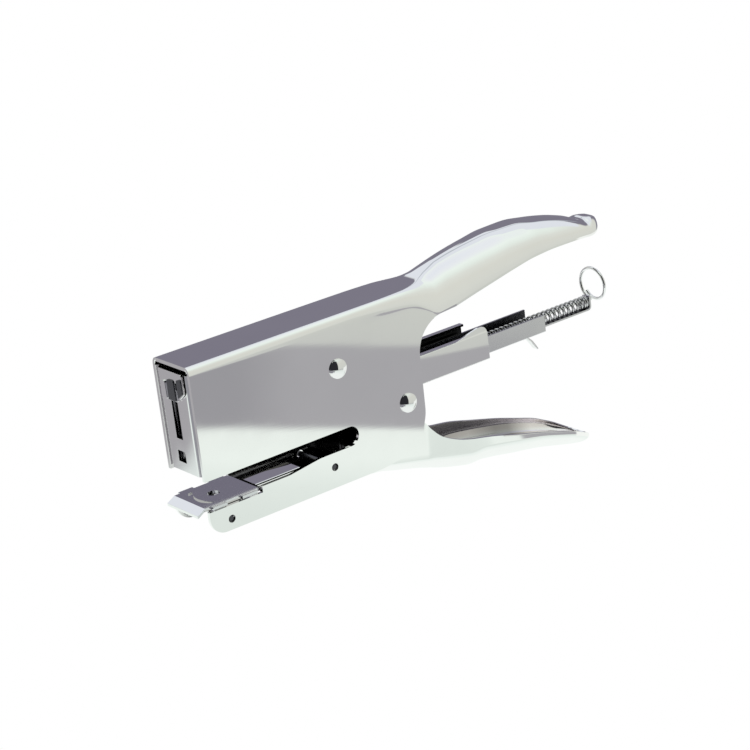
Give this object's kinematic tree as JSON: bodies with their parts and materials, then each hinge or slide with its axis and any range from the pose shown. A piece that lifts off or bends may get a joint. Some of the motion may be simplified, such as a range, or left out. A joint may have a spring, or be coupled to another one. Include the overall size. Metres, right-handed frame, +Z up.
{
  "type": "plier stapler",
  "caption": "Hand-squeezed plier stapler in bright plated sheet steel, with a slotted anvil arm, a swinging magazine and a pull-out spring rail with a ring.",
  "frame": {"origin": "centre of the bounding box on the surface that the stapler stands on", "axes": "+Z up, +X towards the handles, -X towards the nose, Y across"},
  "size_m": [0.1796, 0.024, 0.0819],
  "materials": {
    "chrome": "bright nickel-chrome plate, mirror-like, with soft pressing marks",
    "bright_steel": "bright plated steel",
    "plated_steel": "plated steel that reflects a dark room",
    "spring_steel": "bare spring steel wire and strip"
  },
  "bodies": {
    "frame": {"body_shell": "chrome", "anvil_plate": "plated_steel", "arm_brace": "chrome", "anvil_pin": "bright_steel", "brace_pin": "bright_steel", "pivot_rivet": "bright_steel", "stop_rivet": "bright_steel", "spring_sleeve": "plated_steel", "return_spring": "spring_steel"},
    "lever": {"lower_handle": "chrome", "driver_bridge": "bright_steel", "bridge_pin": "bright_steel"},
    "magazine": {"magazine_channel": "chrome", "nose_plate": "bright_steel", "magazine_bracket": "bright_steel", "staple_strip": "spring_steel"},
    "driver": {"driver_blade": "spring_steel", "driver_clip": "bright_steel"},
    "follower": {"staple_rail": "plated_steel", "guide_rod": "bright_steel", "rail_latch": "bright_steel", "follower_spring": "spring_steel"},
    "pusher": {"pusher": "plated_steel"}
  },
  "joints": [
    {"name": "squeeze", "type": "hinge", "parent": "frame", "child": "lever", "pos_m": [-0.00306, 0, 0.02937], "axis": [0, -1, 0], "range_deg": [0, 15], "stiffness_Nm_per_rad": 0.8, "springref_deg": -28.65, "deforming": ["return_spring"]},
    {"name": "magazine_close", "type": "hinge", "parent": "frame", "child": "magazine", "pos_m": [-0.00306, 0, 0.02937], "axis": [0, -1, 0], "range_deg": [0, 6.9]},
    {"name": "driver_stroke", "type": "slide", "parent": "magazine", "child": "driver", "axis": [0.1392, 0, -0.9903], "range_m": [0, 0.0109]},
    {"name": "rail_slide", "type": "slide", "parent": "magazine", "child": "follower", "axis": [0.9903, 0, 0.1392], "range_m": [0, 0.09]},
    {"name": "pusher_slide", "type": "slide", "parent": "follower", "child": "pusher", "axis": [0.9903, 0, 0.1392], "range_m": [0, 0.06], "stiffness_N_per_m": 20, "springref_m": -0.05, "deforming": ["follower_spring"]}
  ],
  "couplings": [
    {"joint": "magazine_close", "follows": "squeeze", "ratio": 0.46},
    {"joint": "driver_stroke", "follows": "squeeze", "m_per_rad": 0.0416}
  ]
}
